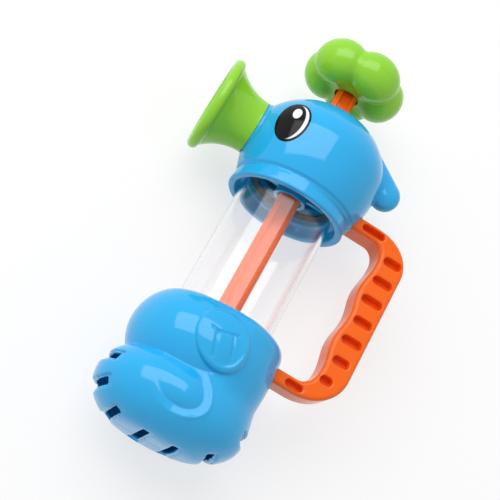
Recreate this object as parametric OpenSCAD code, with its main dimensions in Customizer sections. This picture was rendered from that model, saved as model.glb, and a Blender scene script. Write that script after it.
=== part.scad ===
// Toy water squirter: a lift pump in the shape of a sea creature.
// It stands on its curled tail. +Z is the pump axis, the spout points to -Y and the handle to +Y.
// All lengths are in millimetres.

/* [Barrel] */
// Outside diameter of the clear barrel
barrel_d = 53; // [46:1:64]
// Wall of the barrel
barrel_wall = 2; // [1.6:0.1:2.6]
// Length of the barrel
barrel_len = 111; // [98:1:140]
// Thickness of the gasket at each end of the barrel
gasket_t = 1.2; // [0.8:0.1:2]

/* [Head] */
// Reach of the head in front of the barrel's wall
head_front = 10.9; // [9.5:0.1:13]
// Reach of the head behind the barrel's wall
head_back = 14.5; // [13:0.1:17]
// Height from the collar to the widest level of the head
head_lift = 26; // [23:0.5:32]
// Height from the widest level to the crown
head_rise = 33.6; // [30:0.1:44]
// Radius of the cheeks' curve, seen from the side
cheek_r = 66; // [56:1:90]
// Length of barrel that the collar covers
collar_grip = 8.5; // [7:0.5:12]
// Height of the collar's round bead
collar_h = 5.5; // [4.5:0.1:6.5]
// Wall of the moulded casings
shell_wall = 2.4; // [1.8:0.1:3]
// Half length of the rear fin
fin_long = 21.5; // [19:0.5:25]
// Half breadth of the rear fin
fin_broad = 13; // [11:0.5:15]
// Half thickness of the rear fin
fin_thick = 7; // [5.5:0.5:9]
// Width of the printed eye
eye_w = 14.4; // [12:0.2:20]
// Height of the printed eye
eye_h = 25.7; // [20:0.2:30]

/* [Spout] */
// Outside radius of the horn's neck
neck_r = 15.4; // [14:0.1:17]
// Length of the horn from its neck to the middle of its lip
horn_len = 23.8; // [20:0.1:27]
// Radius of the curve from the neck to the lip
flare_r = 25; // [24:0.5:32]
// Radius of the rolled lip's section
lip_r = 3.1; // [2.4:0.1:3.8]
// Radius of the circle through the middle of the lip
lip_ring_r = 26.4; // [24:0.1:30]
// Wall of the horn
horn_wall = 2; // [1.5:0.1:2.4]

/* [Base] */
// Height of the plate that carries the barrel
bulkhead_z = 38.3; // [36:0.1:42]
// Reach of the belly past the barrel's wall
belly_reach = 12.7; // [11:0.1:15]
// Half height of the belly
belly_semi = 26.8; // [25:0.2:34]
// Height of the belly's widest level above the carrier plate
belly_lift = 14.7; // [12:0.1:18]
// Reach of the tail's inner coil past the barrel's wall
coil_reach = 10; // [8:0.1:11]
// Reach of the tail's outer wrap past the barrel's wall
wrap_reach = 11.5; // [11:0.1:13]
// Reach of the shoulder round the barrel past the barrel's wall
shoulder_reach = 7; // [6:0.1:9]
// Height of the shoulder above the carrier plate
shoulder_lift = 41.7; // [39:0.1:46]
// Length of a water slot in the foot
foot_slot_len = 33; // [26:0.5:38]
// Width of a water slot in the foot
foot_slot_w = 3.8; // [2.5:0.1:4.5]

/* [Handle] */
// Distance from the barrel's wall to the middle of the grip
grip_reach = 37.9; // [34:0.1:46]
// Width of the handle
handle_w = 18; // [14:0.5:20]
// Depth of the grip
grip_depth = 17.2; // [14:0.2:20]
// Depth of the two arms
arm_depth = 8; // [7:0.2:8.6]
// Depth of the finger waves, from the mean to a crest
finger_wave = 1.1; // [0.4:0.1:2]
// Radius of the upper bend along the middle of the handle
bend_top_r = 15; // [13:0.5:18]
// Radius of the lower bend along the middle of the handle
bend_low_r = 17; // [15:0.5:20]
// Depth of the cored slots in each side
core_deep = 6; // [3:0.5:7]
// Height of a cored slot
core_h = 5; // [3.5:0.1:6]

/* [Plunger] */
// Diameter of the fluted rod
rod_d = 14; // [12:0.2:16]
// Width of a flute
flute_w = 6; // [4:0.2:7]
// Depth of a flute
flute_deep = 3.6; // [2:0.1:4]
// Turn of the rod about the pump axis
rod_turn = -5; // [-45:1:45]
// Thickness of the piston
piston_t = 8; // [7:0.2:12]
// Gap between the crown of the head and the knob at rest
knob_gap = 9.5; // [6:0.1:14]
// Half height of the knob
knob_semi = 13.2; // [10:0.2:16]
// Radius of one lobe of the knob
lobe_r = 15; // [14.2:0.1:18]
// Radius of the circle through the middles of the lobes
lobe_ring_r = 17.2; // [14:0.1:20]
// Turn of the knob about the pump axis
knob_turn = 21.5; // [0:0.5:72]
// Wall of the knob
knob_wall = 2.2; // [1.6:0.1:3]

/* [Hidden] */
$fn = 96;

// Cuts run past the faces that they cut by this much
overrun = 1;
// Gap round a piece that drops into a casing
casing_fit = 0.3;
// Gap round a piece that is pushed into another of the same body
push_fit = 0.05;
// Gap between pieces that slide on each other
slide_fit = 0.3;

// Colours as the photograph shows them
blue = [0.24, 0.66, 0.93];
green = [0.57, 0.80, 0.22];
orange = [0.96, 0.40, 0.10];
clear = [0.88, 0.93, 0.97, 0.4];
white = [0.93, 0.93, 0.93];
grey = [0.35, 0.36, 0.38];
steel = [0.72, 0.73, 0.75];

// The stack of levels along the pump axis
barrel_r = barrel_d / 2;
bore_r = barrel_r - barrel_wall;
bulkhead_t = 2.5;
bulkhead_top = bulkhead_z + bulkhead_t;
barrel_low = bulkhead_top + gasket_t;
barrel_top = barrel_low + barrel_len;
guide_t = 2.8;
guide_z = barrel_top + gasket_t;
ledge_z = guide_z + guide_t;
ledge_t = 2;
collar_z = barrel_top - collar_grip;
collar_top = collar_z + collar_h;
head_z = collar_top + head_lift;
crown_z = head_z + head_rise;
knob_z = crown_z + knob_gap + knob_semi;
total_h = knob_z + knob_semi;

// The head: round in plan, its middle a little behind the pump axis
head_r = barrel_r + (head_front + head_back) / 2;
head_y = (head_back - head_front) / 2;
crown_flat = head_r - head_rise;
sleeve_r = barrel_r + casing_fit;
sleeve_t = 2.2;
sleeve_out = sleeve_r + sleeve_t;
collar_stand = 4.7;
collar_ring_r = barrel_r + collar_stand;
fin_back = 32.7;
fin_up = 14.5;
fin_tilt = 36;
eye_tilt = 7;
eye_forward = 24.9;
eye_lift = 0.5;
eye_gap = 0.05;
eye_t = 0.5;
rod_r = rod_d / 2;

// The spout horn's seat in the head
horn_sink = 1.4;
horn_drop = 0.5;
horn_y = head_y - head_r + horn_sink;
horn_z = head_z - horn_drop;
boss_deep = 5;
neck_step = 2.4;
spigot_r = neck_r - neck_step;
spigot_bore_r = spigot_r - horn_wall;
flange_inset = 0.4;
flange_r = neck_r - flange_inset;
flange_t = 2;

// Screws: their places are shares of the head's radius and rise, and of the belly's radius and height
head_screw_shares = [[-0.607, 0.572], [0.617, 0.436], [0.796, -0.218]];
base_screw_shares = [[-0.855, 1.358], [0.561, 0.679], [-0.561, 0.522]];
column_r = 4.2;
screw_seat = 9;
screw_bite = 9;
screw_r = 1.4;
screw_head_r = 2.9;
screw_head_t = 2;
screw_head_gap = 0.3;

// The base: belly, coil, wrap and shoulder, each round in plan
belly_r = barrel_r + belly_reach;
belly_y = -3.5;
belly_z = bulkhead_z + belly_lift;
coil_r = barrel_r + coil_reach;
coil_y = -6.5;
coil_semi = 25;
coil_z = 23.3;
wrap_r = barrel_r + wrap_reach;
wrap_y = 0.5;
wrap_semi = 24;
wrap_z = 22;
wrap_gap_y = -10;
wrap_gap_z = 26.5;
wrap_gap_half = 17.5;
wrap_gap_semi = 9.8;
shoulder_r = barrel_r + shoulder_reach;
shoulder_y = 4;
shoulder_top = bulkhead_z + shoulder_lift;
shoulder_semi = 18;
inlet_ledge = 8.5;
inlet_r = barrel_r - inlet_ledge;
socket_deep = 9.2;

// The fin in relief on each side of the belly
relief_long = 17.5;
relief_broad = 13;
relief_y = 1.6;
relief_lift = 3;
relief_z = belly_z + relief_lift;
relief_tilt = -45;
relief_h = 1.8;
relief_groove_w = 1.6;
relief_groove_step = 7.5;
relief_groove_len = 12;

// Water slots stand round the coil's outline at these angles from its lowest point
foot_slot_angles = [-101, -66, -34, -7, 19, 53, 95];
foot_slot_y = -2.4;
foot_slot_z = 24;
foot_slot_reach = 13.9;
foot_slot_ring_y = barrel_r + foot_slot_reach;
foot_slot_ring_z = 24;
foot_slot_deep = 9;
foot_dish_deep = 1;
foot_dish_margin = 3.6;

// The handle's route and its end plates, which the casings trap
handle_root = 5.4;
end_plate_t = 2.2;
end_plate_side = 2.2;
end_plate_rise = 0.4;
end_plate_half_x = handle_w / 2 + end_plate_side;
end_plate_half_z = arm_depth / 2 + end_plate_rise;
end_plate_y = barrel_r + handle_root;
handle_gap = 0.2;
arm_top_lift = 7;
arm_low_lift = 23;
arm_top_z = collar_top + arm_top_lift;
arm_low_z = bulkhead_z + arm_low_lift;
grip_y = barrel_r + grip_reach;
bend_top_y = grip_y - bend_top_r;
bend_top_z = arm_top_z - bend_top_r;
bend_low_y = grip_y - bend_low_r;
bend_low_z = arm_low_z + bend_low_r;
ring_points = 16;
ring_power = 0.5;
bend_steps = 6;
grip_steps = 24;
// Cored slots down the grip: lengths and shifts are shares of the grip's depth
core_len_shares = [0.62, 0.76, 0.86, 0.73, 0.74, 0.56, 0.42];
core_shift_shares = [0.02, 0.06, 0.06, 0.09, 0.03, -0.02, -0.16];
core_top_share = 0.67;
core_low_share = 0.64;
arm_core_top_share = 0.8;
arm_core_low_share = 0.6;
arm_core_h_share = 0.5;
arm_core_y_share = 0.42;

// The plunger at rest, at the foot of its stroke
flute_floor_r = rod_r - flute_deep;
piston_gap = 0.7;
piston_r = bore_r - piston_gap;
seal_r = bore_r - slide_fit;
seal_t = 4;
seal_deep = 3;
piston_lift = 13;
piston_z = barrel_low + piston_lift;
piston_top = piston_z + piston_t;
flap_t = 1;
flap_gap = 0.1;
flap_r = 13;
flap_hole_gap = 0.5;
flap_lift = 2.4;
flap_stop_gap = 0.2;
rod_spigot_r = 4;
rod_collar_r = 9;
rod_collar_t = 2.3;
rod_collar_z = piston_top + flap_gap + flap_t + flap_lift + flap_stop_gap;
port_r = 2.6;
port_count = 6;
piston_port_ring_r = 9;
small_screw_r = 1.6;
small_screw_head_r = 5.5;
small_screw_head_t = 2;
small_screw_len = 10;
knob_plate_t = 2;
knob_plate_drop = 1.5;
knob_boss_wall = 2.4;
knob_core_r = 16;
knob_lobes = 5;
rod_top = knob_z - knob_plate_drop - knob_plate_t;

// The rod guide and the foot valve
guide_hub_wall = 2;
guide_hub_drop = 4.2;
guide_ring_t = 5.5;
guide_arm_t = 3;
guide_arms = 4;
gasket_ledge = 6.5;
gasket_in_r = barrel_r - gasket_ledge;
seat_r = bore_r - push_fit;
seat_t = 4;
seat_port_ring_r = 6.8;
foot_flap_r = 11;
foot_flap_lift = 2.5;
flap_pin_r = 1.5;
flap_pin_head_r = 3.2;
flap_pin_head_t = 1.5;
flap_pin_foot_r = 2.6;
flap_pin_foot_t = 1.4;

// Lays a flat outline in the YZ plane and extrudes it along +X
module along_x(h) {
    rotate([90, 0, 90]) linear_extrude(h) children();
}

// A cylinder along X, from the parting plane out to one side
module side_rod(r, h, side) {
    rotate([0, 90 * side, 0]) cylinder(r = r, h = h);
}

// One side of the parting plane
module half(side) {
    intersection() {
        children();
        translate([side > 0 ? 0 : -total_h, -total_h / 2, -overrun])
            cube([total_h, total_h, total_h + overrun]);
    }
}

// A disc with a round edge, the form of the belly, the coils and the knob's lobes.
// It is cut flat at the level low, measured from its middle.
module bun(r, semi, inset = 0, low = -total_h) {
    rotate_extrude() intersection() {
        union() {
            translate([r - semi, 0]) circle(semi - inset);
            translate([0, inset - semi]) square([r - semi, 2 * (semi - inset)]);
        }
        translate([0, low]) square([r + overrun, 2 * total_h]);
    }
}

// A ring between two radii
module ring(r_out, r_in, h) {
    difference() {
        cylinder(r = r_out, h = h);
        translate([0, 0, -overrun]) cylinder(r = r_in, h = h + 2 * overrun);
    }
}

// The head's round form above the collar
module head_form(inset = 0) {
    translate([0, head_y, head_z]) rotate_extrude() {
        intersection() {
            union() {
                translate([crown_flat, 0]) circle(head_rise - inset);
                if (crown_flat > 0) square([crown_flat, head_rise - inset]);
            }
            square([head_r + overrun, head_rise + overrun]);
        }
        intersection() {
            translate([head_r - cheek_r, 0]) circle(cheek_r - inset);
            translate([0, -head_lift]) square([head_r + overrun, head_lift]);
        }
    }
}

// The fin at the back of the head
module fin_form(inset = 0) {
    translate([0, head_y + fin_back, head_z + fin_up]) rotate([-fin_tilt, 0, 0])
        scale([fin_thick - inset, fin_long - inset, fin_broad - inset]) sphere(1);
}

// The collar's bead and the sleeve that holds the barrel and the rod guide
module collar() {
    difference() {
        union() {
            translate([0, 0, collar_z]) cylinder(r = collar_ring_r, h = collar_h);
            translate([0, 0, collar_z + collar_h / 2]) rotate_extrude()
                translate([collar_ring_r, 0]) circle(collar_h / 2);
            translate([0, 0, collar_z]) cylinder(r = sleeve_out, h = ledge_z + ledge_t - collar_z);
        }
        translate([0, 0, collar_z - overrun]) cylinder(r = sleeve_r, h = ledge_z - collar_z + overrun);
        translate([0, 0, ledge_z - overrun])
            cylinder(r = barrel_r - guide_ring_t, h = ledge_t + 2 * overrun);
    }
}

// The horn's axis, running forward from the head
module at_horn() {
    translate([0, horn_y, horn_z]) rotate([90, 0, 0]) children();
}

// Screw columns from the parting plane to the wall, for the places in a list
module columns(places, side) {
    for (p = places)
        translate([0, p[0], p[1]]) side_rod(column_r, total_h / 2, side);
}

// Screw holes: open to the screw heads in the left half, blind in the right half
module screw_holes(places, side) {
    for (p = places) translate([0, p[0], p[1]]) {
        side_rod(screw_r + push_fit, (side > 0 ? screw_bite : screw_seat) + overrun, side);
        if (side < 0) translate([-screw_seat, 0, 0])
            side_rod(screw_head_r + screw_head_gap, total_h / 2, side);
    }
}

module screws(places) {
    for (p = places) translate([-screw_seat, p[0], p[1]]) {
        side_rod(screw_r, screw_seat + screw_bite, 1);
        side_rod(screw_head_r, screw_head_t, -1);
    }
}

// Openings in the casings for the handle's two arms
module arm_opening(z) {
    half_x = handle_w / 2 + handle_gap;
    half_z = arm_depth / 2 + handle_gap;
    translate([-half_x, sleeve_out, z - half_z])
        cube([2 * half_x, grip_reach, 2 * half_z]);
}

head_places = [for (s = head_screw_shares) [head_y + s[0] * head_r, head_z + s[1] * head_rise]];
base_places = [for (s = base_screw_shares) [s[0] * belly_r, s[1] * bulkhead_z]];

// One half of the head casing
module head_shell(side) {
    half(side) difference() {
        union() {
            difference() {
                union() {
                    head_form();
                    fin_form();
                }
                head_form(shell_wall);
                fin_form(shell_wall);
                translate([0, 0, collar_top - overrun]) cylinder(r = sleeve_out, h = 2 * overrun);
            }
            collar();
            at_horn() translate([0, 0, -boss_deep]) cylinder(r = neck_r, h = boss_deep);
            intersection() {
                head_form();
                columns(head_places, side);
            }
        }
        at_horn() cylinder(r = neck_r, h = horn_len);
        at_horn() translate([0, 0, -boss_deep - overrun])
            cylinder(r = spigot_r + push_fit, h = boss_deep + 2 * overrun);
        translate([0, 0, head_z]) cylinder(r = rod_r + slide_fit, h = head_rise + overrun);
        arm_opening(arm_top_z);
        screw_holes(head_places, side);
    }
}

module head_shell_right() {
    color(blue) head_shell(1);
}

module head_shell_left() {
    color(blue) head_shell(-1);
}

// The flared horn, with the spigot and the flange that the head's halves close round
module spout_horn() {
    color(green) at_horn() {
        rotate_extrude() {
            intersection() {
                difference() {
                    translate([neck_r + flare_r, 0]) circle(flare_r + horn_wall);
                    translate([neck_r + flare_r, 0]) circle(flare_r);
                }
                square([lip_ring_r, horn_len]);
            }
            translate([lip_ring_r, horn_len]) circle(lip_r);
            translate([spigot_bore_r, 0]) square([neck_r - spigot_bore_r, horn_wall]);
            translate([spigot_bore_r, -boss_deep - flange_t])
                square([spigot_r - spigot_bore_r, boss_deep + flange_t + horn_wall]);
            translate([spigot_bore_r, -boss_deep - flange_t])
                square([flange_r - spigot_bore_r, flange_t - push_fit]);
        }
    }
}

// A thin printed disc that follows the cheek
module eye(side) {
    intersection() {
        difference() {
            head_form(-eye_gap - eye_t);
            head_form(-eye_gap);
        }
        translate([side > 0 ? 0 : -head_r - overrun, head_y - eye_forward, head_z + eye_lift])
            rotate([-eye_tilt, 0, 0])
            along_x(head_r + overrun) scale([eye_w / 2, eye_h / 2]) circle(1);
    }
}

module eye_right() {
    color(white) eye(1);
}

module eye_left() {
    color(white) eye(-1);
}

// The clear tube between the base and the head
module barrel() {
    color(clear) translate([0, 0, barrel_low]) ring(barrel_r, bore_r, barrel_len);
}

module barrel_top_gasket() {
    color(grey) translate([0, 0, barrel_top]) ring(barrel_r, gasket_in_r, gasket_t);
}

module barrel_bottom_gasket() {
    color(grey) translate([0, 0, bulkhead_top]) ring(barrel_r, gasket_in_r, gasket_t);
}

// Spider on top of the barrel: it guides the rod and stops the piston at the top
module rod_guide() {
    hub_r = rod_r + slide_fit + guide_hub_wall;
    color(white) difference() {
        union() {
            translate([0, 0, guide_z]) ring(barrel_r, barrel_r - guide_ring_t, guide_t);
            translate([0, 0, guide_z - guide_hub_drop]) cylinder(r = hub_r, h = guide_hub_drop + guide_t);
            for (k = [0 : guide_arms - 1]) rotate(360 * k / guide_arms)
                translate([0, -guide_arm_t / 2, guide_z])
                cube([barrel_r - guide_ring_t / 2, guide_arm_t, guide_t]);
        }
        translate([0, 0, guide_z - guide_hub_drop - overrun])
            cylinder(r = rod_r + slide_fit, h = guide_hub_drop + guide_t + 2 * overrun);
    }
}

// Ported disc in the foot of the barrel, with the hole for the flap's pin
module valve_seat() {
    color(white) translate([0, 0, barrel_low]) difference() {
        cylinder(r = seat_r, h = seat_t);
        for (k = [0 : port_count - 1]) rotate(360 * k / port_count)
            translate([seat_port_ring_r, 0, -overrun]) cylinder(r = port_r, h = seat_t + 2 * overrun);
        translate([0, 0, -overrun]) cylinder(r = flap_pin_r + push_fit, h = seat_t + 2 * overrun);
    }
}

// Loose disc that lets water in and not out
module foot_flap() {
    color(grey) translate([0, 0, barrel_low + seat_t + flap_gap])
        ring(foot_flap_r, flap_pin_r + flap_hole_gap, flap_t);
}

// Headed pin that the foot flap lifts along
module flap_pin() {
    pin_h = seat_t + flap_gap + flap_t + foot_flap_lift + flap_gap;
    color(steel) translate([0, 0, barrel_low]) {
        cylinder(r = flap_pin_r, h = pin_h);
        translate([0, 0, pin_h]) cylinder(r = flap_pin_head_r, h = flap_pin_head_t);
        translate([0, 0, -flap_pin_foot_t]) cylinder(r = flap_pin_foot_r, h = flap_pin_foot_t);
    }
}

// The belly, round and full
module belly_form(inset = 0) {
    translate([0, belly_y, belly_z]) bun(belly_r, belly_semi, inset);
}

// The inner coil of the tail
module coil_form(inset = 0) {
    translate([0, coil_y, coil_z]) bun(coil_r, coil_semi, inset, inset - coil_z);
}

// The outer wrap of the tail, cut away at the sides so that the inner coil shows as a tongue
module wrap_form() {
    straight = 2 * (wrap_gap_half - wrap_gap_semi);
    difference() {
        translate([0, wrap_y, wrap_z]) bun(wrap_r, wrap_semi, 0, -wrap_z);
        translate([-total_h / 2, wrap_gap_y, wrap_gap_z]) along_x(total_h) {
            square([straight, 2 * wrap_gap_semi], center = true);
            for (s = [-1, 1]) translate([s * straight / 2, 0]) circle(wrap_gap_semi);
        }
    }
}

// The shoulder that rises round the barrel and carries the handle
module shoulder_form(inset = 0) {
    translate([0, shoulder_y, shoulder_top - shoulder_semi]) bun(shoulder_r, shoulder_semi, inset);
}

// The whole outside of the base, flat underneath
module base_form() {
    belly_form();
    coil_form();
    wrap_form();
    shoulder_form();
}

// The hollow inside, above and below the plate that carries the barrel
module base_hollow() {
    difference() {
        union() {
            belly_form(shell_wall);
            coil_form(shell_wall);
            shoulder_form(shell_wall);
        }
        translate([0, 0, bulkhead_z]) cylinder(r = total_h / 2, h = bulkhead_t);
    }
}

// The raised fin on the belly's side, parted by two grooves
module belly_relief(side) {
    intersection() {
        difference() {
            belly_form(-relief_h);
            belly_form(shell_wall / 2);
        }
        translate([side > 0 ? 0 : -belly_r - relief_h, relief_y, relief_z]) rotate([relief_tilt, 0, 0])
            along_x(belly_r + relief_h) difference() {
                scale([relief_long, relief_broad]) circle(1);
                for (s = [-1, 1])
                    translate([relief_long - relief_groove_len,
                               (s * relief_groove_step - relief_groove_w) / 2])
                        square([relief_groove_len, relief_groove_w]);
            }
    }
}

// A slot with round ends along X, sunk from z = 0 downwards and open above
module long_slot(len, w, deep) {
    straight = len - w;
    translate([-straight / 2, -w / 2, -deep]) cube([straight, w, deep + w]);
    for (s = [-1, 1]) translate([s * straight / 2, 0, -deep]) cylinder(d = w, h = deep + w);
}

// Water slots round the foot, each in a shallow dish
module foot_slots() {
    for (a = foot_slot_angles)
        translate([0, foot_slot_y + foot_slot_ring_y * sin(a), foot_slot_z - foot_slot_ring_z * cos(a)])
            rotate([180 + a, 0, 0]) {
                long_slot(foot_slot_len, foot_slot_w, foot_slot_deep);
                long_slot(foot_slot_len + 2 * foot_dish_margin, foot_slot_w + foot_dish_margin,
                          foot_dish_deep);
            }
}

// One half of the base casing
module base_shell(side) {
    half(side) difference() {
        union() {
            difference() {
                base_form();
                base_hollow();
            }
            belly_relief(side);
            translate([0, 0, bulkhead_z]) cylinder(r = sleeve_out, h = bulkhead_t + socket_deep);
            intersection() {
                base_form();
                columns(base_places, side);
            }
        }
        translate([0, 0, bulkhead_top]) cylinder(r = sleeve_r, h = total_h);
        translate([0, 0, bulkhead_z - overrun]) cylinder(r = inlet_r, h = bulkhead_t + 2 * overrun);
        foot_slots();
        arm_opening(arm_low_z);
        screw_holes(base_places, side);
    }
}

module base_shell_right() {
    color(blue) base_shell(1);
}

module base_shell_left() {
    color(blue) base_shell(-1);
}

// Depth of the handle on each side of its route, where its outward normal stands at angle a
function handle_half(a) = arm_depth / 2 + (grip_depth - arm_depth) / 2 * pow(cos(a), 2);
// Inner side, with the finger waves; u runs from 0 to 1 down the grip
function handle_inner(a, u) = handle_half(a) - finger_wave * cos(720 * u) * pow(cos(a), 2);
// A power that keeps the sign, for the squarish section
function keep_sign(v) = sign(v) * pow(abs(v), ring_power);

// Stations along the handle: [y, z, angle of the outward normal, place along the grip]
handle_route = concat(
    [[end_plate_y - end_plate_t / 2, arm_top_z, 90, 0]],
    [for (k = [0 : bend_steps]) let (a = 90 - 90 * k / bend_steps)
        [bend_top_y + bend_top_r * cos(a), bend_top_z + bend_top_r * sin(a), a, 0]],
    [for (k = [1 : grip_steps - 1]) let (u = k / grip_steps)
        [grip_y, bend_top_z + (bend_low_z - bend_top_z) * u, 0, u]],
    [for (k = [0 : bend_steps]) let (a = -90 * k / bend_steps)
        [bend_low_y + bend_low_r * cos(a), bend_low_z + bend_low_r * sin(a), a, 1]],
    [[end_plate_y - end_plate_t / 2, arm_low_z, -90, 1]]);

// One ring of the handle's skin
function handle_ring(s) = [for (i = [0 : ring_points - 1])
    let (t = 360 * i / ring_points,
         n = keep_sign(sin(t)) * (sin(t) > 0 ? handle_half(s[2]) : handle_inner(s[2], s[3])))
    [handle_w / 2 * keep_sign(cos(t)), s[0] + n * cos(s[2]), s[1] + n * sin(s[2])]];

module handle_skin() {
    rings = len(handle_route);
    points = [for (s = handle_route) each handle_ring(s)];
    sides = [for (j = [0 : rings - 2], i = [0 : ring_points - 1])
        let (a = j * ring_points + i, b = j * ring_points + (i + 1) % ring_points)
        each [[a, b, b + ring_points], [a, b + ring_points, a + ring_points]]];
    cap_first = [for (i = [0 : ring_points - 1]) ring_points - 1 - i];
    cap_last = [for (i = [0 : ring_points - 1]) (rings - 1) * ring_points + i];
    polyhedron(points, concat(sides, [cap_first, cap_last]));
}

// A blind cored slot from one side of the handle, lying along Y
module core_slot(y, z, len, h, side) {
    straight = len - h;
    translate([side > 0 ? handle_w / 2 - core_deep : -handle_w / 2 - overrun, y, z])
        along_x(core_deep + overrun) {
            square([straight, h], center = true);
            for (s = [-1, 1]) translate([s * straight / 2, 0]) circle(d = h);
        }
}

// One moulding with finger waves; its end plates sit behind the walls of the head and the base
module handle() {
    count = len(core_len_shares);
    core_top = arm_top_z - core_top_share * bend_top_r;
    core_low = arm_low_z + core_low_share * bend_low_r;
    arm_core_y = end_plate_y + arm_core_y_share * grip_reach;
    arm_core_h = arm_core_h_share * arm_depth;
    color(orange) difference() {
        union() {
            handle_skin();
            for (z = [arm_top_z, arm_low_z])
                translate([-end_plate_half_x, end_plate_y - end_plate_t, z - end_plate_half_z])
                    cube([2 * end_plate_half_x, end_plate_t, 2 * end_plate_half_z]);
        }
        for (side = [-1, 1]) {
            for (k = [0 : count - 1])
                core_slot(grip_y + core_shift_shares[k] * grip_depth,
                          core_top + (core_low - core_top) * k / (count - 1),
                          core_len_shares[k] * grip_depth, core_h, side);
            core_slot(arm_core_y, arm_top_z, arm_core_top_share * grip_depth, arm_core_h, side);
            core_slot(arm_core_y, arm_low_z, arm_core_low_share * grip_depth, arm_core_h, side);
        }
    }
}

// Fluted rod with the spigot that carries the piston
module plunger_rod() {
    color(orange) difference() {
        union() {
            translate([0, 0, piston_z]) cylinder(r = rod_spigot_r, h = rod_collar_z - piston_z);
            translate([0, 0, rod_collar_z]) cylinder(r = rod_collar_r, h = rod_collar_t);
            translate([0, 0, rod_collar_z]) difference() {
                cylinder(r = rod_r, h = rod_top - rod_collar_z);
                for (k = [0 : 3]) rotate(rod_turn + 90 * k)
                    translate([flute_floor_r, -flute_w / 2, rod_collar_t])
                    cube([rod_r, flute_w, rod_top - rod_collar_z]);
            }
        }
        translate([0, 0, piston_z - overrun])
            cylinder(r = small_screw_r + push_fit, h = small_screw_len + overrun);
        translate([0, 0, rod_top - small_screw_len + knob_plate_t])
            cylinder(r = small_screw_r + push_fit, h = small_screw_len);
    }
}

// Ported disc with a groove for the seal
module piston() {
    color(white) translate([0, 0, piston_z]) difference() {
        cylinder(r = piston_r, h = piston_t);
        translate([0, 0, (piston_t - seal_t) / 2]) ring(piston_r + overrun, piston_r - seal_deep, seal_t);
        for (k = [0 : port_count - 1]) rotate(360 * k / port_count)
            translate([piston_port_ring_r, 0, -overrun]) cylinder(r = port_r, h = piston_t + 2 * overrun);
        translate([0, 0, -overrun]) cylinder(r = rod_spigot_r + push_fit, h = piston_t + 2 * overrun);
    }
}

module piston_seal() {
    color(grey) translate([0, 0, piston_z + (piston_t - seal_t) / 2 + push_fit])
        ring(seal_r, piston_r - seal_deep + push_fit, seal_t - 2 * push_fit);
}

// Loose disc that lets water up through the piston on the down stroke
module piston_flap() {
    color(grey) translate([0, 0, piston_top + flap_gap]) ring(flap_r, rod_spigot_r + flap_hole_gap, flap_t);
}

// Screw with a wide head that holds the piston on the rod
module piston_screw() {
    color(steel) translate([0, 0, piston_z]) {
        cylinder(r = small_screw_r, h = small_screw_len);
        translate([0, 0, -small_screw_head_t]) cylinder(r = small_screw_head_r, h = small_screw_head_t);
    }
}

// The knob's five round lobes and their middle
module knob_form(inset = 0) {
    translate([0, 0, knob_z]) rotate(knob_turn) {
        bun(knob_core_r, knob_semi, inset);
        for (k = [0 : knob_lobes - 1]) rotate(360 * k / knob_lobes)
            translate([lobe_ring_r, 0, 0]) bun(lobe_r, knob_semi, inset);
    }
}

module knob_shell() {
    difference() {
        knob_form();
        knob_form(knob_wall);
    }
}

// Lower half, with the socket for the rod
module knob_lower() {
    boss_r = rod_r + push_fit + knob_boss_wall;
    low = knob_z - knob_semi;
    color(green) difference() {
        union() {
            intersection() {
                knob_shell();
                translate([-total_h / 2, -total_h / 2, low]) cube([total_h, total_h, knob_semi]);
            }
            translate([0, 0, low]) cylinder(r = boss_r, h = rod_top + knob_plate_t - low);
        }
        translate([0, 0, low - overrun]) cylinder(r = rod_r + push_fit, h = rod_top - low + overrun);
        translate([0, 0, rod_top - overrun])
            cylinder(r = small_screw_r + push_fit, h = knob_plate_t + 2 * overrun);
    }
}

// Upper half, a closed cap
module knob_upper() {
    color(green) intersection() {
        knob_shell();
        translate([-total_h / 2, -total_h / 2, knob_z]) cube([total_h, total_h, knob_semi]);
    }
}

// Screw inside the knob, down into the rod
module knob_screw() {
    color(steel) translate([0, 0, rod_top + knob_plate_t]) {
        translate([0, 0, -small_screw_len]) cylinder(r = small_screw_r, h = small_screw_len);
        cylinder(r = small_screw_head_r, h = small_screw_head_t);
    }
}

module head_screws() {
    color(steel) screws(head_places);
}

module base_screws() {
    color(steel) screws(base_places);
}

head_shell_right();
head_shell_left();
spout_horn();
eye_right();
eye_left();
barrel();
barrel_top_gasket();
barrel_bottom_gasket();
rod_guide();
valve_seat();
foot_flap();
flap_pin();
base_shell_right();
base_shell_left();
handle();
plunger_rod();
piston();
piston_seal();
piston_flap();
piston_screw();
knob_lower();
knob_upper();
knob_screw();
head_screws();
base_screws();
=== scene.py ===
import math

import bmesh
import bpy
import numpy as np
from mathutils import Matrix, Vector


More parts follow.
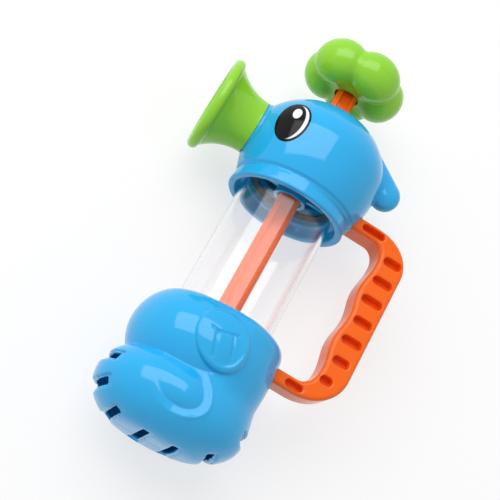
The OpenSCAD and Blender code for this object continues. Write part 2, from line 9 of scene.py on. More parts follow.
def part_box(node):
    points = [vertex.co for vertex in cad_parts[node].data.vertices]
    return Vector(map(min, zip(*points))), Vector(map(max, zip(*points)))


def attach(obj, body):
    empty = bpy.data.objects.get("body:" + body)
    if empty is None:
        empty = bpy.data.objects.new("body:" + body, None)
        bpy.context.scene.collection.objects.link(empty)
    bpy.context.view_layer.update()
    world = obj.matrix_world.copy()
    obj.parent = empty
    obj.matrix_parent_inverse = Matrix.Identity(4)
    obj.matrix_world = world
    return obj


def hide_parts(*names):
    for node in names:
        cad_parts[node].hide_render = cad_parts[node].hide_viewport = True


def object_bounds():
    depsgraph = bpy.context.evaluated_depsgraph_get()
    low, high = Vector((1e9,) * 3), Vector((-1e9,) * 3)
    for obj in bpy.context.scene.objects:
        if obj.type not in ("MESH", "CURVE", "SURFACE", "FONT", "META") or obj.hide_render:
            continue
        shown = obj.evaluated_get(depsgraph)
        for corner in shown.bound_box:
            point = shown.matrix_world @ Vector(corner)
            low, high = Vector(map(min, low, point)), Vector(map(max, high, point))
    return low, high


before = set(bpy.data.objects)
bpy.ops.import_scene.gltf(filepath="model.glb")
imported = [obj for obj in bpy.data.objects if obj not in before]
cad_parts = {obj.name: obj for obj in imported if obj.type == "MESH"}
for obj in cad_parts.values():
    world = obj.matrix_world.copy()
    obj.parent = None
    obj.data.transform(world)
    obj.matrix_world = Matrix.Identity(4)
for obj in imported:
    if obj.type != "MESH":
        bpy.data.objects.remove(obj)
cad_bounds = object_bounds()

# The floor: a sheet of white paper under the toy, which lies on its left side for its picture.
# The sheet shows from one side only and lets the lamps shine through it, so that the toy can be
# seen, and is lit, from behind the sheet too.
sheet_gap = 0.0004
sheet_half = 1.6
sheet_white = (0.95, 0.945, 0.945, 1.0)
sheet_grain_scale, sheet_grain_tone = 900.0, 0.985
sheet_glow_share = 0.66
low_corner = Vector(cad_bounds[0])


def either_of(nodes, links, *signals):
    """One where any of some nought-or-one signals is one."""
    any_one = signals[0]
    for signal in signals[1:]:
        larger = nodes.new("ShaderNodeMath")
        larger.operation = "MAXIMUM"
        links.new(any_one, larger.inputs[0])
        links.new(signal, larger.inputs[1])
        any_one = larger.outputs[0]
    return any_one


def seen_rays(path):
    """The rays by which a thing is seen: straight, in a gloss or through the clear tube."""
    return [path.outputs[ray] for ray in ("Is Camera Ray", "Is Glossy Ray", "Is Transmission Ray")]


def sheet_material(name, colour):
    material = bpy.data.materials.new(name)
    material.use_nodes = True
    nodes, links = material.node_tree.nodes, material.node_tree.links
    nodes.clear()
    output = nodes.new("ShaderNodeOutputMaterial")
    paper = nodes.new("ShaderNodeBsdfDiffuse")
    glow = nodes.new("ShaderNodeEmission")
    unseen = nodes.new("ShaderNodeBsdfTransparent")
    lit, mix = (nodes.new("ShaderNodeMixShader") for _ in range(2))
    side = nodes.new("ShaderNodeNewGeometry")
    path = nodes.new("ShaderNodeLightPath")
    grain = nodes.new("ShaderNodeTexNoise")
    grain.inputs["Scale"].default_value = sheet_grain_scale
    tone = nodes.new("ShaderNodeMix")
    tone.data_type = "RGBA"
    tone.inputs["A"].default_value = colour
    tone.inputs["B"].default_value = [sheet_grain_tone * channel for channel in colour[:3]] + [1.0]
    links.new(grain.outputs["Fac"], tone.inputs["Factor"])
    links.new(tone.outputs["Result"], paper.inputs["Color"])
    share = nodes.new("ShaderNodeMath")
    share.operation = "MULTIPLY"
    share.inputs[1].default_value = sheet_glow_share
    links.new(either_of(nodes, links, *seen_rays(path)), share.inputs[0])
    links.new(share.outputs[0], lit.inputs[0])
    links.new(paper.outputs[0], lit.inputs[1])
    links.new(glow.outputs[0], lit.inputs[2])
    clear = either_of(nodes, links, side.outputs["Backfacing"], path.outputs["Is Shadow Ray"])
    links.new(clear, mix.inputs[0])
    links.new(lit.outputs[0], mix.inputs[1])
    links.new(unseen.outputs[0], mix.inputs[2])
    links.new(mix.outputs[0], output.inputs["Surface"])
    return material


def sheet(name, centre, normal):
    mesh = bpy.data.meshes.new(name)
    corners = [(-sheet_half, -sheet_half, 0), (sheet_half, -sheet_half, 0),
               (sheet_half, sheet_half, 0), (-sheet_half, sheet_half, 0)]
    mesh.from_pydata(corners, [], [(0, 1, 2, 3)])
    piece = bpy.data.objects.new(name, mesh)
    piece.matrix_world = Matrix.Translation(centre) @ normal.to_track_quat("Z", "Y").to_matrix().to_4x4()
    bpy.context.scene.collection.objects.link(piece)
    mesh.materials.append(sheet_material(name + "_paper", sheet_white))


sheet("picture_sheet", Vector((low_corner.x - sheet_gap, 0, 0)), Vector((1, 0, 0)))

# The camera looks at the toy's right side from a little below and in front, rolled as the picture is.
# The scene is in metres, and MM turns the toy's own millimetres into them.
MM = 0.001
view_below = math.radians(20.0)
view_front = math.radians(7.0)
view_roll = math.radians(29.36)
view_target = Vector((0, -5.06, 114.46)) * MM
view_distance = 650 * MM
view_lens, view_film = 88.9, 36.0

across = Vector((math.sin(view_front), math.cos(view_front), 0))
upward = Vector((math.sin(view_below) * math.cos(view_front), -math.sin(view_below) * math.sin(view_front),
                 math.cos(view_below)))
toward = across.cross(upward)
right = math.cos(view_roll) * across + math.sin(view_roll) * upward
top = math.cos(view_roll) * upward - math.sin(view_roll) * across
camera_data = bpy.data.cameras.new("picture_camera")
camera_data.lens = view_lens
camera_data.sensor_width = view_film
camera = bpy.data.objects.new("picture_camera", camera_data)
camera.matrix_world = (Matrix.Translation(view_target + view_distance * toward)
                       @ Matrix((right, top, toward)).transposed().to_4x4())
bpy.context.scene.collection.objects.link(camera)
bpy.context.scene.camera = camera

# The lights: a large softbox above and in front of the toy, a smaller one behind it, and an even white room.
# The room is plain white where it is seen, in a gloss or through the tube too, and dimmer as a light.
key_across, key_up = 0.48, 0.92
key_box = dict(distance=1.35, width=1.7, height=1.0, power=16.2)
rear_toward = Vector((-0.8, 0.45, 0.5))
rear_box = dict(distance=1.4, width=0.9, height=0.9, power=10.0)
room_light = 0.52


def softbox(name, direction, distance, width, height, power):
    lamp = bpy.data.lights.new(name, "AREA")
    lamp.shape = "RECTANGLE"
    lamp.size = width
    lamp.size_y = height
    lamp.energy = power
    box = bpy.data.objects.new(name, lamp)
    out = direction.normalized()
    level = (across - across.dot(out) * out).normalized()
    box.matrix_world = (Matrix.Translation(view_target + distance * out)
                        @ Matrix((level, out.cross(level), out)).transposed().to_4x4())
    bpy.context.scene.collection.objects.link(box)


softbox("key_box", toward - key_across * across + key_up * upward, **key_box)
softbox("rear_box", rear_toward, **rear_box)

world = bpy.data.worlds.new("white_room")
bpy.context.scene.world = world
world.use_nodes = True
room, room_links = world.node_tree.nodes, world.node_tree.links
room.clear()
sky = room.new("ShaderNodeBackground")
sky.inputs["Color"].default_value = (1.0, 1.0, 1.0, 1.0)
sky_out = room.new("ShaderNodeOutputWorld")
sky_level = room.new("ShaderNodeMapRange")
sky_level.inputs["To Min"].default_value = room_light
sky_level.inputs["To Max"].default_value = 1.0
sky_seen = either_of(room, room_links, *seen_rays(room.new("ShaderNodeLightPath")))
room_links.new(sky_seen, sky_level.inputs["Value"])
room_links.new(sky_level.outputs["Result"], sky.inputs["Strength"])
room_links.new(sky.outputs[0], sky_out.inputs["Surface"])
bpy.context.scene.view_settings.view_transform = "Standard"

# The base casing: two blue mouldings, right and left, screwed together from the left side.
# Belly, curled tail and shoulder flow into each other; the tail's tongue lies in a rounded step.
# Sizes are in millimetres in the toy's own frame, as the forms below are worked out there.
casing_wall = 2.4
parting_gap = 0.04
on_plane_m = 1e-7
seam_deep, seam_half = 0.16, 0.5
edge_soft, casing_crease = 0.4, 55.0
belly = dict(y=-2.8, z=52.2, r=38.5, semi=26.4, wide=26.4)
coil = dict(y=-6.2, z=21.2, r=37.4, semi=21.2, wide=24.0)
wrap = dict(y=0.5, z=21.8, r=38.0, semi=21.8, wide=29.0)
shoulder = dict(y=4.0, r=33.5, low=10.0, top=76.0, edge=10.0)
coil_soft, back_soft = 4.0, 7.0
belly_crease = dict(front=0.35, more=5.65, y=3.0, run=9.0)
belly_top, top_soft = 76.2, 6.0
foot_trim, foot_soft = 0.53, 3.0
curl = dict(y=-9.5, z=19.5, r=16.5, under_y=-4.5, under_z=32.0, under_r=16.7, tip=4.0)
curl_drop, curl_edge = 2.3, 9.0
curl_fade = dict(y=-20.0, run=15.0)
bevel_drop, bevel_w = 2.0, 3.8
bevel_end = dict(y=4.0, z=29.0, run=3.0)
lip_rise, lip_w = 0.55, 1.0
lip_fade = dict(y=-2.0, run=6.0)
plate_low, plate_top = 38.3, 40.8
hole_r, mouth_soft = 26.8, 0.7
socket_out, socket_top = 29.0, 50.0
inlet_r = 18.0
relief = dict(y=0.6, z=54.4, rise=1.7, long=16.4, broad=13.5, soft=1.5, seat=0.5, from_x=12.0)
relief_rim = dict(rise=0.7, inset=1.8, half=1.1, run=12.0)
relief_lines = [((-4.9, 1.6), (-1.2, -9.6)), ((3.5, 3.8), (7.4, -5.6)), ((-8.0, 2.9), (-3.7, 2.0)),
                ((-3.7, 2.0), (5.6, 5.2))]
relief_line_deep, relief_line_w = 0.7, 0.6
slot_angles = [-96, -61, -33.6, -8, 16, 45, 86]
slot_ring = dict(y=-2.4, z=24.0, ry=40.4, rz=24.0)
slot_len, slot_w, slot_deep, slot_corner = 33.0, 3.8, 5.0, 0.9
dish_margin, dish_side, dish_deep, dish_soft = 3.6, 1.2, 1.0, 1.0
arm_half_x, arm_half_z = 9.2, 4.2
low_arm_z = 61.3
base_screw_places = [(-33.5, 52.0), (22.0, 26.0), (-22.0, 20.0)]
column_r, column_inset, pocket_r, screw_seat = 4.2, 0.2, 3.2, 9.0
base_low, base_high, base_step = (-41.0, -44.0, 0.0), (41.0, 40.0, 80.0), 0.66
sky_blue, sky_blue_shade, blue_polish = (0.016, 0.41, 0.80), (0.012, 0.39, 0.78), 0.06
plastic_density = 1.42
cloud_scale, cloud_detail = 38.0, 3.0
fine_scale, fine_spread = 420.0, 0.06
ripple_scale, ripple_height = 110.0, 0.00002


def soft_union(a, b, soft):
    share = np.clip(0.5 + 0.5 * (b - a) / soft, 0, 1)
    return b + (a - b) * share - soft * share * (1 - share)


def soft_cut(a, cutter, soft):
    return -soft_union(-a, cutter, soft)


def ramp(value, start, run):
    return np.clip((value - start) / run, 0, 1)


def bun(x, y, z, form):
    rim = np.maximum(np.hypot(x, y - form["y"]) - (form["r"] - form["wide"]), 0)
    return (np.hypot(rim / form["wide"], (z - form["z"]) / form["semi"]) - 1) * form["semi"]


def round_drum(x, y, z, form):
    mid, half = (form["low"] + form["top"]) / 2, (form["top"] - form["low"]) / 2
    side = np.hypot(x, y - form["y"]) - (form["r"] - form["edge"])
    flat = np.abs(z - mid) - (half - form["edge"])
    outside = np.hypot(np.maximum(side, 0), np.maximum(flat, 0))
    return np.minimum(np.maximum(side, flat), 0) + outside - form["edge"]


def to_segment(y, z, start, end):
    along = np.array(end) - np.array(start)
    t = np.clip(((y - start[0]) * along[0] + (z - start[1]) * along[1]) / (along @ along), 0, 1)
    return np.hypot(y - start[0] - t * along[0], z - start[1] - t * along[1])


def round_box(a, b, half_a, half_b, corner):
    da, db = np.abs(a) - half_a + corner, np.abs(b) - half_b + corner
    return np.minimum(np.maximum(da, db), 0) + np.hypot(np.maximum(da, 0), np.maximum(db, 0)) - corner


def screw_columns(body, solid, x, y, z, places):
    for sy, sz in places:
        from_axis = np.hypot(y - sy, z - sz)
        body = np.minimum(body, np.maximum(from_axis - column_r, solid + column_inset))
        body = soft_cut(body, np.maximum(from_axis - pocket_r, x + screw_seat), edge_soft)
    return body


def base_solid(x, y, z):
    over_curl = np.where(y > curl["y"], np.hypot(y - curl["y"], z - curl["z"]), z - curl["z"]) - curl["r"]
    under_curl = np.hypot(y - curl["under_y"], z - curl["under_z"]) - curl["under_r"]
    edge = -soft_union(-over_curl, -under_curl, curl["tip"])
    inside = curl_drop * np.clip(1 + edge / curl_edge, 0, 1) ** 2
    outside = bevel_drop * np.clip(1 - edge / bevel_w, 0, 1)
    under_belly = (ramp(z, bevel_end["z"], bevel_end["run"])
                   * ramp(-y, -bevel_end["y"], bevel_end["run"]))
    outside = outside + (curl_drop - outside) * under_belly
    step = ramp(y, curl_fade["y"], curl_fade["run"]) * np.where(edge < 0, inside, outside)
    lip_line = np.exp(-((edge - bevel_w) / lip_w) ** 2)
    step = step - lip_rise * ramp(y, lip_fade["y"], lip_fade["run"]) * lip_line
    lower = soft_union(bun(x, y, z, wrap), bun(x, y, z, coil), coil_soft) + step
    back = soft_union(round_drum(x, y, z, shoulder), lower, back_soft)
    crease = belly_crease["front"] + belly_crease["more"] * ramp(y, belly_crease["y"], belly_crease["run"])
    upper = soft_union(bun(x, y, z, belly), back, crease)
    upper = soft_cut(upper, belly_top - z, top_soft)
    ry, rz = y - relief["y"], z - relief["z"]
    along, over = (ry - rz) / math.sqrt(2), (ry + rz) / math.sqrt(2)
    oval = (np.hypot(along / relief["long"], over / relief["broad"]) - 1) * relief["broad"]
    raised = soft_cut(upper - relief["rise"], -oval, relief["soft"])
    rim_line = np.exp(-((oval + relief_rim["inset"]) / relief_rim["half"]) ** 2)
    raised = raised - relief_rim["rise"] * ramp(along, 0, relief_rim["run"]) * rim_line
    for start, end in relief_lines:
        raised = raised + relief_line_deep * np.exp(-(to_segment(ry, rz, start, end) / relief_line_w) ** 2)
    upper = soft_union(upper, np.maximum(raised, relief["from_x"] - np.abs(x)), relief["seat"])
    return soft_cut(upper, z + foot_trim, foot_soft)


def base_field(points):
    x, y, z = points.T
    solid = base_solid(x, y, z)
    plate = np.maximum(plate_low - z, z - plate_top)
    hollow = np.maximum(solid + casing_wall, -plate)
    body = soft_cut(solid, hollow, edge_soft)
    from_axis = np.hypot(x, y)
    socket = np.maximum(np.abs(from_axis - (hole_r + socket_out) / 2) - (socket_out - hole_r) / 2,
                        np.abs(z - (plate_low + socket_top) / 2) - (socket_top - plate_low) / 2)
    body = np.minimum(body, socket)
    body = screw_columns(body, solid, x, y, z, base_screw_places)
    body = soft_cut(body, np.maximum(from_axis - hole_r, plate_top - z), mouth_soft)
    inlet = np.maximum(from_axis - inlet_r, np.abs(z - plate_low) - 2 * casing_wall)
    body = soft_cut(body, inlet, edge_soft)
    for angle in slot_angles:
        s, c = math.sin(math.radians(angle)), math.cos(math.radians(angle))
        dy, dz = y - (slot_ring["y"] + slot_ring["ry"] * s), z - (slot_ring["z"] - slot_ring["rz"] * c)
        outward, tangent = dy * s - dz * c, dy * c + dz * s
        near = -outward - slot_ring["rz"] / 2
        dish = round_box(x, tangent, slot_len / 2 + dish_margin, slot_w / 2 + dish_side, slot_w / 2)
        body = soft_cut(body, np.maximum(np.maximum(dish, -solid - dish_deep), near), dish_soft)
        hole = round_box(x, tangent, slot_len / 2, slot_w / 2, slot_corner)
        body = soft_cut(body, np.maximum(np.maximum(hole, -solid - slot_deep), near), edge_soft)
    arm = np.maximum(np.maximum(np.abs(x) - arm_half_x, np.abs(z - low_arm_z) - arm_half_z), socket_out - y)
    body = soft_cut(body, arm, edge_soft)
    return body + seam_deep * np.exp(-(x / seam_half) ** 2)


def skin_of(field, low, high, step):
    """Points and four-sided faces on the zero surface of a distance field."""
    step = np.array(step, float) * np.ones(3)
    before, after = 1.5, 2.5
    axes = [np.arange(a - before * s, b + after * s, s) for a, b, s in zip(low, high, step)]
    grid = np.stack(np.meshgrid(*axes, indexing="ij"), -1)
    inside = field(grid.reshape(-1, 3)).reshape(grid.shape[:3]) < 0
    count = np.zeros([n - 1 for n in inside.shape], int)
    for i in (0, 1):
        for j in (0, 1):
            for k in (0, 1):
                count += inside[i:i + count.shape[0], j:j + count.shape[1], k:k + count.shape[2]]
    crossed = (count > 0) & (count < 8)
    index = np.full(count.shape, -1)
    index[crossed] = np.arange(crossed.sum())
    points = (np.argwhere(crossed) + 0.5) * step + [a[0] for a in axes]
    faces = []
    for axis in range(3):
        marks, cells = np.moveaxis(inside, axis, 0), np.moveaxis(index, axis, 0)
        i, j, k = np.argwhere((marks[:-1] != marks[1:])[:, 1:-1, 1:-1]).T + np.array([[0], [1], [1]])
        ring = np.stack([cells[i, j - 1, k - 1], cells[i, j, k - 1], cells[i, j, k], cells[i, j - 1, k]], 1)
        outward = marks[i, j, k] != (axis == 1)
        faces.append(np.where(outward[:, None], ring, ring[:, ::-1]))
    probe, passes, least_slope, most_shift = 0.02, 7, 0.05, 0.5 * step.min()
    for _ in range(passes):
        slope = np.stack([field(points + e) - field(points - e) for e in probe * np.eye(3)], -1) / (2 * probe)
        shift = field(points) / np.maximum((slope ** 2).sum(1), least_slope)
        points = points - np.clip(shift, -most_shift, most_shift)[:, None] * slope
    return points, np.concatenate(faces)


def mesh_piece(name, points, faces, crease=casing_crease):
    mesh = bpy.data.meshes.new(name)
    mesh.from_pydata((np.asarray(points) * MM).tolist(), [], np.asarray(faces).tolist())
    mesh.shade_smooth()
    mesh.set_sharp_from_angle(angle=math.radians(crease))
    piece = bpy.data.objects.new(name, mesh)
    bpy.context.scene.collection.objects.link(piece)
    return piece


def split_piece(name, points, faces, plane, normal, gap):
    """The part of a skin on one side of a flat parting plane, closed there."""
    piece = mesh_piece(name, points, faces)
    normal = Vector(normal)
    work = bmesh.new()
    work.from_mesh(piece.data)
    cut = bmesh.ops.bisect_plane(work, geom=work.verts[:] + work.edges[:] + work.faces[:], dist=on_plane_m,
                                 plane_co=(Vector(plane) + gap * normal) * MM, plane_no=normal,
                                 clear_inner=True)
    rim = [e for e in cut["geom_cut"] if isinstance(e, bmesh.types.BMEdge)]
    bmesh.ops.triangle_fill(work, edges=rim, use_beauty=True, use_dissolve=False, normal=-normal)
    work.to_mesh(piece.data)
    work.free()
    piece.data.shade_smooth()
    piece.data.set_sharp_from_angle(angle=math.radians(casing_crease))
    return piece


def moulded_finish_group():
    """Faint clouding and flow in the colour, an uneven polish and a very low ripple."""
    group = bpy.data.node_groups.new("moulded_finish", "ShaderNodeTree")
    sockets = [("Color", "INPUT", "NodeSocketColor"), ("Shade", "INPUT", "NodeSocketColor"),
               ("Polish", "INPUT", "NodeSocketFloat"), ("Color", "OUTPUT", "NodeSocketColor"),
               ("Roughness", "OUTPUT", "NodeSocketFloat"), ("Height", "OUTPUT", "NodeSocketFloat")]
    for label, way, kind in sockets:
        group.interface.new_socket(label, in_out=way, socket_type=kind)
    nodes, links = group.nodes, group.links
    given, result = nodes.new("NodeGroupInput"), nodes.new("NodeGroupOutput")
    place = nodes.new("ShaderNodeTexCoord")
    cloud, fine, ripple = (nodes.new("ShaderNodeTexNoise") for _ in range(3))
    cloud.inputs["Scale"].default_value = cloud_scale
    cloud.inputs["Detail"].default_value = cloud_detail
    fine.inputs["Scale"].default_value = fine_scale
    ripple.inputs["Scale"].default_value = ripple_scale
    for noise in (cloud, fine, ripple):
        links.new(place.outputs["Object"], noise.inputs["Vector"])
    tint = nodes.new("ShaderNodeMix")
    tint.data_type = "RGBA"
    polish = nodes.new("ShaderNodeMath")
    polish.operation = "MULTIPLY_ADD"
    polish.inputs[1].default_value = fine_spread
    links.new(cloud.outputs["Fac"], tint.inputs["Factor"])
    links.new(given.outputs["Color"], tint.inputs["A"])
    links.new(given.outputs["Shade"], tint.inputs["B"])
    links.new(fine.outputs["Fac"], polish.inputs[0])
    links.new(given.outputs["Polish"], polish.inputs[2])
    links.new(tint.outputs["Result"], result.inputs["Color"])
    links.new(polish.outputs[0], result.inputs["Roughness"])
    links.new(ripple.outputs["Fac"], result.inputs["Height"])
    return group


moulded_finish = moulded_finish_group()


def moulded_material(name, colour, shade, polish, density=plastic_density):
    material = bpy.data.materials.new(name)
    material.use_nodes = True
    nodes, links = material.node_tree.nodes, material.node_tree.links
    plastic = nodes["Principled BSDF"]
    plastic.inputs["IOR"].default_value = density
    finish = nodes.new("ShaderNodeGroup")
    finish.node_tree = moulded_finish
    finish.inputs["Color"].default_value = (*colour, 1.0)
    finish.inputs["Shade"].default_value = (*shade, 1.0)
    finish.inputs["Polish"].default_value = polish
    bump = nodes.new("ShaderNodeBump")
    bump.inputs["Distance"].default_value = ripple_height
    links.new(finish.outputs["Color"], plastic.inputs["Base Color"])
    links.new(finish.outputs["Roughness"], plastic.inputs["Roughness"])
    links.new(finish.outputs["Height"], bump.inputs["Height"])
    links.new(bump.outputs["Normal"], plastic.inputs["Normal"])
    return material


blue_plastic = moulded_material("sky_blue_plastic", sky_blue, sky_blue_shade, blue_polish)


def fit(piece, body, slot, material, *nodes):
    piece.data.materials.clear()
    piece.data.materials.append(material)
    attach(piece, body)
    if nodes:
        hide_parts(*nodes)


base_points, base_faces = skin_of(base_field, base_low, base_high, base_step)
for side, word in ((1, "right"), (-1, "left")):
    half = split_piece("base_half_" + word, base_points, base_faces, (0, 0, 0), (side, 0, 0), parting_gap)
    fit(half, "body", "blue_shell", blue_plastic, "base_shell_" + word)

# The screws are bright zinc-plated steel. Those that close the casings are sunk in pockets on the left side.
# One holds the piston and one the knob, and a pin of the same steel guides the foot valve's flap.
zinc, zinc_shade, zinc_polish = (0.62, 0.63, 0.66), (0.5, 0.51, 0.55), 0.25


def plain_material(name, colour, shade, polish, metal=0.0):
    material = moulded_material(name, colour, shade, polish)
    material.node_tree.nodes["Principled BSDF"].inputs["Metallic"].default_value = metal
    return material


def dress(material, *nodes):
    for node in nodes:
        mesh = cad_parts[node].data
        mesh.materials.clear()
        mesh.materials.append(material)


zinc_steel = plain_material("zinc_steel", zinc, zinc_shade, zinc_polish, metal=1.0)
dress(zinc_steel, "base_screws", "head_screws", "piston_screw", "knob_screw", "flap_pin")

# The inside of the pump: a ported seat and a piston of white plastic, flaps and rings of dark rubber,
# and a blue guide for the rod on top of the barrel.
# They stay as they are built, and only take their finish here.
satin_white, satin_white_shade, satin_polish = (0.80, 0.81, 0.82), (0.76, 0.77, 0.79), 0.35
rubber, rubber_shade, rubber_polish = (0.03, 0.03, 0.032), (0.045, 0.045, 0.047), 0.55
white_plastic = plain_material("satin_white_plastic", satin_white, satin_white_shade, satin_polish)
seal_rubber = plain_material("seal_rubber", rubber, rubber_shade, rubber_polish)
dress(white_plastic, "valve_seat", "piston")
dress(seal_rubber, "barrel_top_gasket", "barrel_bottom_gasket", "foot_flap", "piston_flap", "piston_seal")
dress(blue_plastic, "rod_guide")

# The barrel is one tube of clear plastic with eased edges, polished inside and out.
# It is held between the two gaskets, in the sockets of the base and the head.
barrel_r, bore_r, barrel_low, barrel_top = 26.5, 24.5, 42.0, 153.0
barrel_round = 0.4
tube_sides, tube_crease = 240, 40.0
tube_density, tube_draw_scale, tube_polish = 1.4, 60.0, 0.03
tube_clear, tube_clear_shade = (0.985, 0.99, 0.995, 1.0), (0.975, 0.98, 0.99, 1.0)


def lathe(name, profile, sides, place, crease):
    """Turns a closed outline of (radius, height) points about an axis; place maps the turned points."""
    turned = []
    for k in range(sides):
        angle = 2 * math.pi * k / sides
        turned += [place(r * math.cos(angle), r * math.sin(angle), h) for r, h in profile]
    n = len(profile)
    faces = [(k * n + i, ((k + 1) % sides) * n + i, ((k + 1) % sides) * n + (i + 1) % n, k * n + (i + 1) % n)
             for k in range(sides) for i in range(n)]
    return mesh_piece(name, turned, faces, crease)


def clear_material(name):
    material = bpy.data.materials.new(name)
    material.use_nodes = True
    nodes, links = material.node_tree.nodes, material.node_tree.links
    tube = nodes["Principled BSDF"]
    tube.inputs["Transmission Weight"].default_value = 1.0
    tube.inputs["IOR"].default_value = tube_density
    draw = nodes.new("ShaderNodeTexNoise")
    draw.inputs["Scale"].default_value = tube_draw_scale
    place = nodes.new("ShaderNodeTexCoord")
    links.new(place.outputs["Object"], draw.inputs["Vector"])
    polish = nodes.new("ShaderNodeMapRange")
    polish.inputs["To Min"].default_value = 0.0
    polish.inputs["To Max"].default_value = tube_polish
    links.new(draw.outputs["Fac"], polish.inputs["Value"])
    links.new(polish.outputs["Result"], tube.inputs["Roughness"])
    tint = nodes.new("ShaderNodeMix")
    tint.data_type = "RGBA"
    tint.inputs["A"].default_value = tube_clear
    tint.inputs["B"].default_value = tube_clear_shade
    links.new(draw.outputs["Fac"], tint.inputs["Factor"])
    links.new(tint.outputs["Result"], tube.inputs["Base Color"])
    path = nodes.new("ShaderNodeLightPath")
    shadow = nodes.new("ShaderNodeBsdfTransparent")
    mix = nodes.new("ShaderNodeMixShader")
    blocked = either_of(nodes, links, path.outputs["Is Shadow Ray"], path.outputs["Is Diffuse Ray"])
    links.new(blocked, mix.inputs[0])
    links.new(tube.outputs[0], mix.inputs[1])
    links.new(shadow.outputs[0], mix.inputs[2])
    links.new(mix.outputs[0], nodes["Material Output"].inputs["Surface"])
    return material


barrel_outline = [(barrel_r, barrel_low + barrel_round), (barrel_r, barrel_top - barrel_round),
                  (barrel_r - barrel_round, barrel_top), (bore_r + barrel_round, barrel_top),
                  (bore_r, barrel_top - barrel_round), (bore_r, barrel_low + barrel_round),
                  (bore_r + barrel_round, barrel_low), (barrel_r - barrel_round, barrel_low)]
clear_tube = lathe("clear_tube", barrel_outline, tube_sides, lambda a, b, h: (a, b, h), tube_crease)
fit(clear_tube, "body", "clear_plastic", clear_material("clear_polished_plastic"), "barrel")

# The plunger rod is one orange moulding with four flutes, a stop collar and a spigot for the piston.
# The piston is screwed to its foot, and its top sits in the knob.
rod_r, flutes, flute_w, flute_floor, flute_soft = 7.0, 4, 6.0, 3.4, 0.7
rod_turn = math.radians(-5.0)
rod_low, collar_low, collar_high, rod_high = 55.0, 66.7, 69.0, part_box("plunger_rod")[1][2] / MM
spigot_r, collar_r = 4.0, 9.0
rod_step = (0.55, 0.55, 1.15)
orange, orange_shade = (0.94, 0.135, 0.003), (0.91, 0.125, 0.002)
orange_polish, orange_density = 0.1, 1.34


def rod_field(points):
    x, y, z = points.T
    from_axis = np.hypot(x, y)
    rod = np.maximum(from_axis - rod_r, collar_low - z)
    for k in range(flutes):
        turn = rod_turn + 2 * math.pi * k / flutes
        out = x * math.cos(turn) + y * math.sin(turn)
        over = -x * math.sin(turn) + y * math.cos(turn)
        flute = np.maximum(np.maximum(np.abs(over) - flute_w / 2, flute_floor - out), collar_high - z)
        rod = soft_cut(rod, flute, flute_soft)
    collar = np.maximum(from_axis - collar_r,
                        np.abs(z - (collar_low + collar_high) / 2) - (collar_high - collar_low) / 2)
    spigot = np.maximum(from_axis - spigot_r, z - collar_high)
    body = np.minimum(np.minimum(rod, collar), spigot)
    return np.maximum(body, np.maximum(rod_low - z, z - rod_high))


orange_plastic = moulded_material("orange_plastic", orange, orange_shade, orange_polish, orange_density)
rod_points, rod_faces = skin_of(rod_field, (-collar_r, -collar_r, rod_low), (collar_r, collar_r, rod_high),
                                rod_step)
fluted_rod = mesh_piece("fluted_rod", rod_points, rod_faces)
fit(fluted_rod, "plunger", "orange_plastic", orange_plastic, "plunger_rod")

# The head casing: two blue mouldings like the base, with the collar over the barrel and the fin behind.
# Its front closes round the horn's spigot, and its back round the handle's upper arm.
head = dict(y=1.8, z=176.0, r=39.2, rise=32.0, power=2.0, cheek=66.0)
rim_band = dict(y=0.6, ring=31.4, half=2.2, z=147.0, half_h=3.6, lean=0.12, corner=0.9, soft=0.5)
rim_groove = dict(r=34.7, z=151.0, tube=1.25, soft=0.6)
fin = dict(start=(19.4, 199.7), end=(45.1, 182.7), r=9.0, thin=1.3, soft=1.4)
collar_top_z, collar_soft, sleeve_lap = 150.0, 1.5, 0.5
ledge_z, ledge_top, ledge_r = 157.0, 159.0, 21.0
horn_seat_y, horn_z, neck_r, spigot_hole_r, boss_deep = -36.0, 175.5, 15.4, 13.05, 5.0
neck_play, seat_soft, cut_past = 0.05, 0.3, 1
rod_hole_r, rod_hole_soft = 7.3, 0.6
top_arm_z = 157.0
head_screw_places = [(-22.0, 197.0), (26.0, 192.0), (33.0, 168.0)]
head_low, head_high, head_step = (-40.0, -38.0, 144.0), (40.0, 54.5, 213.0), 0.8


def head_round(x, y, z):
    rim, level = np.hypot(x, y - head["y"]), z - head["z"]
    crown = ((rim / head["r"]) ** head["power"] + (np.maximum(level, 0) / head["rise"]) ** head["power"])
    crown = (crown ** (1 / head["power"]) - 1) * head["rise"]
    cheek = np.hypot(rim + head["cheek"] - head["r"], level) - head["cheek"]
    return np.where(level > 0, crown, cheek)


def head_solid(x, y, z):
    blade = (np.hypot(to_segment(y, z, fin["start"], fin["end"]), fin["thin"] * x) - fin["r"]) / fin["thin"]
    form = soft_union(head_round(x, y, z), blade, fin["soft"])
    return soft_cut(form, z - collar_top_z, collar_soft)


